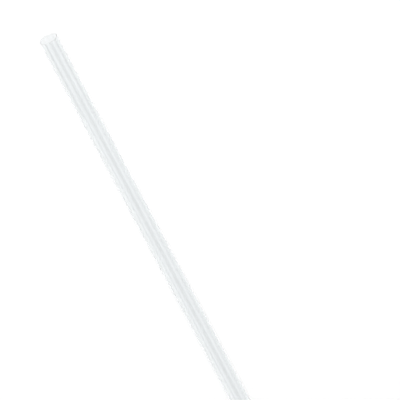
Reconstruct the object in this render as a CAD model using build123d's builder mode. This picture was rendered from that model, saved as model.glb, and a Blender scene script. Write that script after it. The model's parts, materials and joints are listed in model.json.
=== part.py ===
"""A straight clear plastic drinking straw: one thin extruded tube, cut square at both ends.

Frame: the straw lies on its side along X, as it rests on a table. The origin is under
the middle of the tube, on the surface that it rests on, and +Z is up. Sizes are in
millimetres.
"""

import os

from build123d import *

# Driving dimensions.
length = 197.0  # a standard 7 3/4 inch straw
outer_diameter = 6.0
wall = 0.2
lip_round = 0.04  # how far the blade softens the edges of the two cut ends

# Sizes worked out from them.
outer_radius = outer_diameter / 2
bore_radius = outer_radius - wall
lip_limit = 0.45 * wall  # the two edges of a lip share the wall between them

# The tube's section stands on the near cut end, with its centre one radius above the table.
near_end = Plane(origin=(-length / 2, 0, outer_radius), x_dir=(0, 1, 0), z_dir=(1, 0, 0))


def make_tube():
    """The whole straw: an extruded ring with softened lips."""
    with BuildPart() as tube:
        with BuildSketch(near_end):
            Circle(outer_radius)
            Circle(bore_radius, mode=Mode.SUBTRACT)
        extrude(amount=length)
        cut_ends = tube.faces().filter_by(Axis.X)
        fillet(cut_ends.edges(), radius=min(lip_round, lip_limit))
    tube.part.label = "straw_tube"
    return tube


def main():
    os.makedirs("parts", exist_ok=True)
    tube = make_tube()
    export_step(tube.part, "parts/straw_tube.step")


main()
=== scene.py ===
"""A clear plastic drinking straw that lies on a pale studio floor.

The straw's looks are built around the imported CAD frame: a fine tube mesh takes the place of
the coarse one, with the same length, outside, wall and softened lips. Lengths are in metres.
The straw lies along X, and its lip end, which faces the camera, is the one at +X.
"""

import json
import math

import bpy
import numpy as np
from mathutils import Matrix, Vector


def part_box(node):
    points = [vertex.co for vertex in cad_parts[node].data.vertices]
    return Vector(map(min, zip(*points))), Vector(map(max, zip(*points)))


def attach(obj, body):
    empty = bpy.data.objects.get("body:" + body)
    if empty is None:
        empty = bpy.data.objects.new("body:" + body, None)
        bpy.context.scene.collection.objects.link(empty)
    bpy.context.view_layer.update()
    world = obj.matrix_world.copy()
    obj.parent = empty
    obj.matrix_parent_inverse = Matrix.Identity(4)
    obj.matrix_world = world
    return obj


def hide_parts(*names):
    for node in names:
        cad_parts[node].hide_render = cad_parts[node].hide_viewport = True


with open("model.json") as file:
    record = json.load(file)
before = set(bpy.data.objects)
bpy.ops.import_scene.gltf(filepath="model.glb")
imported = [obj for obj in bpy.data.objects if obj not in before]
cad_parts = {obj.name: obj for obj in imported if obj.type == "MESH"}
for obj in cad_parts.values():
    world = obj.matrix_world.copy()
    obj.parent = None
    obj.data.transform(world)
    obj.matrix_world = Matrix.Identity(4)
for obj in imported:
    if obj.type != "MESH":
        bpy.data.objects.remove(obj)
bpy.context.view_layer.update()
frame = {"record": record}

# The straw, from the frame.
BORE = next(m for m in frame["record"]["mounts"] if m["name"] == "bore")
LOW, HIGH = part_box("straw_tube")
LENGTH = HIGH.x - LOW.x
RADIUS = (HIGH.y - LOW.y) / 2
BORE_RADIUS = BORE["dims"]["r_mm"] / 1000
AXIS_HEIGHT = BORE["pos_m"][2]
LIP_END = Vector((HIGH.x, 0, AXIS_HEIGHT))

# The straw's mesh.
SEED = 7
SEGMENTS = 360  # round the tube
STATIONS = 25  # along the tube
LIP_ROUND = 0.00004
LIP_STEPS = 4  # points on the round of each lip edge
SUPPORTS = (1, 4)  # rings this many lip rounds further in, which keep the rounding out of the shading
DIE_LINES = 22  # faint lengthwise lines that the extruder leaves, on each face of the wall
DIE_LINE_DEPTH = 1.5e-6
DIE_LINE_WIDTH = math.radians(2.5)

# The straw's finish.
PLASTIC_IOR = 1.49
PASSING_LIGHT = (0.972, 0.975, 0.976, 1)  # what a surface lets through to lamps and scattered light
CLEAR_TINTS = ((0.938, 0.952, 0.957, 1), (0.950, 0.962, 0.967, 1))
CLEAR_TRANSMISSION = 0.97
CLEAR_ROUGHNESS = (0.02, 0.06)
CLOUD_SCALE = 420.0  # of the change in gloss
STREAK_STRETCH = (0.8, 1500.0, 1500.0)  # along the straw and across it
STREAK_STRENGTH = 0.08
STREAK_RELIEF = 0.000002
CUT_TINTS = ((0.95, 0.96, 0.962, 1), (0.98, 0.985, 0.985, 1))
CUT_TRANSMISSION = 0.35
CUT_ROUGHNESS = (0.35, 0.6)
CUT_SCALE = 9000.0  # of the blade's marks
CUT_STRENGTH = 0.3
CUT_RELIEF = 0.00001

# The camera, in the terms of the picture. Places in it are shares of its half width.
VIEW_DISTANCE = 1.4  # to the lip end
VIEW_ANGLE = math.radians(65)  # between the straw's axis and the line of sight
LEAN_IN_VIEW = math.radians(28.0)  # of the straw, from the picture's upright
LIP_END_IN_VIEW = (-0.7578, 0.8054)
STRAW_SHARE = 0.0957  # the straw's width at the lip end
SENSOR = 0.036
CLIP_END = 100

# Light.
WORLD_LEVELS = (  # how bright the studio is, by the sine of the height above the horizon
    (0.050, 1.0),  # its pale walls
    (0.070, 0.12),
    (0.28, 0.10),
    (0.5, 0.18),
)
ALONG_STRAW = Vector((1, 0, 0))
ACROSS_STRAW = Vector((0, 1, 0))
STRIP_AWAY = 0.6  # from the straw to the long softboxes beside it, which make its bright stripes
STRIP_LENGTH = 1.3
STRIPS = (  # name, turn from overhead, width, brightness
    ("strip_right", math.radians(37), 0.42, 0.55),
    ("strip_right_core", math.radians(36), 0.14, 0.40),
    ("strip_left", math.radians(-39), 0.50, 0.60),
    ("strip_left_core", math.radians(-38), 0.20, 0.20),
)
SOFTBOXES = (  # name, place, size, brightness, direction of the first side
    ("key", (0.75, 0, 1.1), (1.1, 1.1), 2.1, ACROSS_STRAW),
    ("low_left", (-0.42, 0.44, 0.11), (0.5, 0.2), 1.5, ALONG_STRAW),
    ("end_fill", (1.1, 0, 0.35), (0.9, 0.5), 1.8, ACROSS_STRAW),
)

# The floor.
FLOOR_COLOUR = (0.8, 0.8, 0.8, 1)
FLOOR_HALF = 12.0
FLOOR_LIFT = 0.335  # brings the floor to white, as the camera and the straw see it
FLOOR_NEAR = 0.15  # up to here it shows the lamps' light
FLOOR_FAR = 0.35  # and from here on plain white


def lip_profile():
    """Points (x, radius, "lip") over the end at +X, from the outside of the wall to the inside."""
    straight = LENGTH / 2 - LIP_ROUND
    turns = np.linspace(0, math.pi / 2, LIP_STEPS)
    outer = [(a, RADIUS - LIP_ROUND * (1 - math.cos(a))) for a in turns[1:]]
    inner = [(a, BORE_RADIUS + LIP_ROUND * (1 - math.cos(a))) for a in turns[:0:-1]]
    return [(straight + LIP_ROUND * math.sin(a), radius, "lip") for a, radius in outer + inner]


def tube_profile():
    """Points (x, radius, which face of the wall) once round its section, from the far outside."""
    straight = LENGTH / 2 - LIP_ROUND
    supports = [straight - count * LIP_ROUND for count in SUPPORTS]
    stations = np.linspace(-straight, straight, STATIONS)
    along = sorted([*stations, *supports, *(-x for x in supports)])
    outside = [(x, RADIUS, "outside") for x in along]
    inside = [(x, BORE_RADIUS, "inside") for x in reversed(along)]
    lip = lip_profile()
    far_lip = [(-x, radius, face) for x, radius, face in reversed(lip)]
    return outside + lip + inside + far_lip


def angles_round_tube():
    return np.linspace(0, 2 * math.pi, SEGMENTS, endpoint=False)


def die_lines(rng):
    """How far each of the angles round the tube stands back, for one face of the wall."""
    around = angles_round_tube()
    back = np.zeros(SEGMENTS)
    for _ in range(DIE_LINES):
        centre = rng.uniform(0, 2 * math.pi)
        width = DIE_LINE_WIDTH * rng.uniform(0.6, 2.2)
        gap = (around - centre + math.pi) % (2 * math.pi) - math.pi
        back += DIE_LINE_DEPTH * rng.uniform(0.2, 1.0) * np.exp(-((gap / width) ** 2))
    return back


def tube_points(profile):
    """The mesh's points, ring by ring, with die lines in both faces of the wall."""
    rng = np.random.default_rng(SEED)
    outer_lines = die_lines(rng)
    inner_lines = die_lines(rng)
    around = angles_round_tube()
    middle_radius = (RADIUS + BORE_RADIUS) / 2
    rings = []
    for x, radius, _ in profile:
        r = radius + inner_lines if radius < middle_radius else radius - outer_lines
        ring = np.stack([np.full(SEGMENTS, x), r * np.cos(around), AXIS_HEIGHT + r * np.sin(around)], 1)
        rings.append(ring)
    return np.concatenate(rings)


def faces_between(i, j):
    """The faces between rings i and j of the mesh."""
    faces = []
    for k in range(SEGMENTS):
        n = (k + 1) % SEGMENTS
        faces.append((i * SEGMENTS + k, i * SEGMENTS + n, j * SEGMENTS + n, j * SEGMENTS + k))
    return faces


def make_tube():
    """The straw: the wall's section carried round the axis. Its lips take the second material."""
    profile = tube_profile()
    faces = []
    material_indices = []
    for i, (_, _, face) in enumerate(profile):
        j = (i + 1) % len(profile)
        faces += faces_between(i, j)
        material_indices += [int("lip" in (face, profile[j][2]))] * SEGMENTS
    mesh = bpy.data.meshes.new("clear_tube")
    mesh.from_pydata(tube_points(profile).tolist(), [], faces)
    mesh.polygons.foreach_set("use_smooth", [True] * len(faces))
    mesh.polygons.foreach_set("material_index", material_indices)
    mesh.update()
    tube = bpy.data.objects.new("clear_tube", mesh)
    bpy.context.scene.collection.objects.link(tube)
    return tube


def connect(tree, value, target):
    """Feeds the input from a socket, or sets it to a plain value."""
    if isinstance(value, bpy.types.NodeSocket):
        tree.links.new(value, target)
    else:
        target.default_value = value


def node(tree, kind, **inputs):
    """A new node, with values or sockets for its named inputs."""
    made = tree.nodes.new(kind)
    for name, value in inputs.items():
        connect(tree, value, made.inputs[name.replace("_", " ")])
    return made


def math_node(tree, operation, first, second):
    made = tree.nodes.new("ShaderNodeMath")
    made.operation = operation
    connect(tree, first, made.inputs[0])
    connect(tree, second, made.inputs[1])
    return made.outputs[0]


def mix_shaders(tree, share, first, second):
    """The first shader where share is 0, and the second one where it is 1."""
    mix = tree.nodes.new("ShaderNodeMixShader")
    tree.links.new(share, mix.inputs[0])
    tree.links.new(first.outputs[0], mix.inputs[1])
    tree.links.new(second.outputs[0], mix.inputs[2])
    return mix


def between_tints(tree, share, tints):
    mix = tree.nodes.new("ShaderNodeMix")
    mix.data_type = "RGBA"
    tree.links.new(share, mix.inputs["Factor"])
    mix.inputs["A"].default_value, mix.inputs["B"].default_value = tints
    return mix.outputs["Result"]


def ramp_of(tree, source, levels):
    """A grey level for each value of source, straight between the given (value, level) stops."""
    ramp = node(tree, "ShaderNodeValToRGB", Fac=source)
    stops = ramp.color_ramp.elements
    while len(stops) < len(levels):
        stops.new(1.0)
    for stop, (value, level) in zip(stops, levels):
        stop.position = value
        stop.color = (level, level, level, 1)
    return ramp.outputs["Color"]


def blank_material(name):
    material = bpy.data.materials.new(name)
    material.use_nodes = True
    material.node_tree.nodes.clear()
    return material, material.node_tree


def lets_light_through(tree, surface):
    """The surface as it is seen, and clear with a slight loss to lamps and scattered light."""
    passing = node(tree, "ShaderNodeBsdfTransparent", Color=PASSING_LIGHT)
    path = tree.nodes.new("ShaderNodeLightPath")
    for ray in ("Is Shadow Ray", "Is Diffuse Ray"):
        surface = mix_shaders(tree, path.outputs[ray], surface, passing)
    node(tree, "ShaderNodeOutputMaterial", Surface=surface.outputs[0])


def cut_edge():
    """The straw's ends, which the blade left slightly whitened and matt."""
    material, tree = blank_material("cut_edge")
    place = tree.nodes.new("ShaderNodeTexCoord").outputs["Object"]
    marks = node(tree, "ShaderNodeTexNoise", Vector=place, Scale=CUT_SCALE, Detail=3.0).outputs["Fac"]
    low, high = CUT_ROUGHNESS
    matt = node(tree, "ShaderNodeMapRange", Value=marks, To_Min=low, To_Max=high)
    bump = node(tree, "ShaderNodeBump", Height=marks, Strength=CUT_STRENGTH, Distance=CUT_RELIEF)
    plastic = node(
        tree,
        "ShaderNodeBsdfPrincipled",
        Base_Color=between_tints(tree, marks, CUT_TINTS),
        Roughness=matt.outputs["Result"],
        Normal=bump.outputs["Normal"],
        IOR=PLASTIC_IOR,
        Transmission_Weight=CUT_TRANSMISSION,
    )
    lets_light_through(tree, plastic)
    return material


def clear_plastic():
    """Clear extruded polypropylene: slightly milky, streaked along the straw, with a cloudy gloss."""
    material, tree = blank_material("clear_plastic")
    place = tree.nodes.new("ShaderNodeTexCoord").outputs["Object"]
    drawn = node(tree, "ShaderNodeMapping", Vector=place, Scale=STREAK_STRETCH).outputs[0]
    streaks = node(tree, "ShaderNodeTexNoise", Vector=drawn, Scale=1.0, Detail=3.0).outputs["Fac"]
    cloud = node(tree, "ShaderNodeTexNoise", Vector=place, Scale=CLOUD_SCALE, Detail=2.0).outputs["Fac"]
    low, high = CLEAR_ROUGHNESS
    gloss = node(tree, "ShaderNodeMapRange", Value=cloud, To_Min=low, To_Max=high)
    bump = node(tree, "ShaderNodeBump", Height=streaks, Strength=STREAK_STRENGTH, Distance=STREAK_RELIEF)
    plastic = node(
        tree,
        "ShaderNodeBsdfPrincipled",
        Base_Color=between_tints(tree, streaks, CLEAR_TINTS),
        Roughness=gloss.outputs["Result"],
        Normal=bump.outputs["Normal"],
        IOR=PLASTIC_IOR,
        Transmission_Weight=CLEAR_TRANSMISSION,
    )
    lets_light_through(tree, plastic)
    return material


def seen_directly(tree):
    """1 for rays that show the background: straight from the camera, mirrored or through the straw."""
    path = tree.nodes.new("ShaderNodeLightPath")
    shown = path.outputs["Is Camera Ray"]
    for ray in ("Is Glossy Ray", "Is Transmission Ray"):
        shown = math_node(tree, "MAXIMUM", shown, path.outputs[ray])
    return shown


def lit_floor(tree, shown):
    """Lit by the lamps, so that it keeps the straw's shadow, and lifted to white where it is shown."""
    matt = node(tree, "ShaderNodeBsdfDiffuse", Color=FLOOR_COLOUR)
    lift = node(tree, "ShaderNodeEmission", Strength=math_node(tree, "MULTIPLY", shown, FLOOR_LIFT))
    both = tree.nodes.new("ShaderNodeAddShader")
    tree.links.new(matt.outputs[0], both.inputs[0])
    tree.links.new(lift.outputs[0], both.inputs[1])
    return both


def far_share(tree):
    """0 on the floor near the straw, and 1 further out, where the lamps no longer reach evenly."""
    away = tree.nodes.new("ShaderNodeVectorMath")
    away.operation = "LENGTH"
    tree.links.new(tree.nodes.new("ShaderNodeTexCoord").outputs["Object"], away.inputs[0])
    share = node(
        tree,
        "ShaderNodeMapRange",
        Value=away.outputs["Value"],
        From_Min=FLOOR_NEAR,
        From_Max=FLOOR_FAR,
    )
    return share.outputs["Result"]


def pale_floor():
    """Lit near the straw, and plain white further out."""
    material, tree = blank_material("pale_floor")
    shown = seen_directly(tree)
    white = node(tree, "ShaderNodeEmission", Strength=1.0)
    white_share = math_node(tree, "MULTIPLY", far_share(tree), shown)
    floor = mix_shaders(tree, white_share, lit_floor(tree, shown), white)
    node(tree, "ShaderNodeOutputMaterial", Surface=floor.outputs[0])
    return material


def make_floor():
    corners = [(x * FLOOR_HALF, y * FLOOR_HALF, 0) for x, y in ((-1, -1), (1, -1), (1, 1), (-1, 1))]
    mesh = bpy.data.meshes.new("floor")
    mesh.from_pydata(corners, [], [(0, 1, 2, 3)])
    floor = bpy.data.objects.new("floor", mesh)
    bpy.context.scene.collection.objects.link(floor)
    mesh.materials.append(pale_floor())


def make_world():
    """A dim studio overhead, whose pale walls show near the horizon."""
    world = bpy.data.worlds.new("studio")
    bpy.context.scene.world = world
    world.use_nodes = True
    tree = world.node_tree
    tree.nodes.clear()
    direction = tree.nodes.new("ShaderNodeTexCoord").outputs["Generated"]
    parts = node(tree, "ShaderNodeSeparateXYZ", Vector=direction)
    levels = ramp_of(tree, parts.outputs["Z"], WORLD_LEVELS)
    sky = node(tree, "ShaderNodeBackground", Color=levels)
    node(tree, "ShaderNodeOutputWorld", Surface=sky.outputs[0])


def facing(aim, along):
    """The rotation that turns a lamp's -Z to aim, and its X as near as it can be to along."""
    back = -aim.normalized()
    side = (along - along.project(back)).normalized()
    return Matrix((side, back.cross(side), back)).transposed()


def softbox(name, place, size, brightness, along):
    """A rectangular soft light that faces the straw, with its first side as near as it can be to along."""
    lamp = bpy.data.lights.new(name, "AREA")
    lamp.shape = "RECTANGLE"
    lamp.size, lamp.size_y = size
    lamp.energy = brightness * math.pi * size[0] * size[1]
    light = bpy.data.objects.new(name, lamp)
    bpy.context.scene.collection.objects.link(light)
    light.location = place
    aim = Vector((0, 0, AXIS_HEIGHT)) - Vector(place)
    light.rotation_euler = facing(aim, along).to_euler()
    light.visible_camera = False


def make_lights():
    for name, turn, width, brightness in STRIPS:
        place = (0, -STRIP_AWAY * math.sin(turn), STRIP_AWAY * math.cos(turn))
        softbox(name, place, (STRIP_LENGTH, width), brightness, ALONG_STRAW)
    for lamp in SOFTBOXES:
        softbox(*lamp)


def make_camera():
    """Stands where the straw is seen at VIEW_ANGLE, with its lip end and its lean in their places."""
    camera_data = bpy.data.cameras.new("camera")
    camera = bpy.data.objects.new("camera", camera_data)
    bpy.context.scene.collection.objects.link(camera)
    bpy.context.scene.camera = camera
    view_width = 2 * RADIUS / STRAW_SHARE * 2  # at the lip end's distance
    half_view = view_width / 2 / VIEW_DISTANCE

    # In the camera's own axes: the lip end, the line of sight to it, and the straw's axis away from it.
    lip = Vector((LIP_END_IN_VIEW[0] * half_view, LIP_END_IN_VIEW[1] * half_view, -1)) * VIEW_DISTANCE
    sight = lip.normalized()
    down = Vector((math.sin(LEAN_IN_VIEW), -math.cos(LEAN_IN_VIEW), 0))
    across_sight = (down - down.project(sight)).normalized()
    away = math.cos(VIEW_ANGLE) * sight + math.sin(VIEW_ANGLE) * across_sight

    # The frame's axes, as the camera sees them.
    x_axis = -away
    z_axis = (-sight - (-sight).project(away)).normalized()
    turned = Matrix((x_axis, z_axis.cross(x_axis), z_axis))
    camera.matrix_world = Matrix.Translation(LIP_END - turned @ lip) @ turned.to_4x4()
    camera_data.sensor_width = SENSOR * 1000
    camera_data.lens = SENSOR * 1000 * VIEW_DISTANCE / view_width
    camera_data.clip_end = CLIP_END


tube = make_tube()
tube.data.materials.append(clear_plastic())
tube.data.materials.append(cut_edge())
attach(tube, "root")
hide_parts("straw_tube")
make_floor()
make_world()
make_lights()
make_camera()
bpy.context.scene.view_settings.view_transform = "Standard"
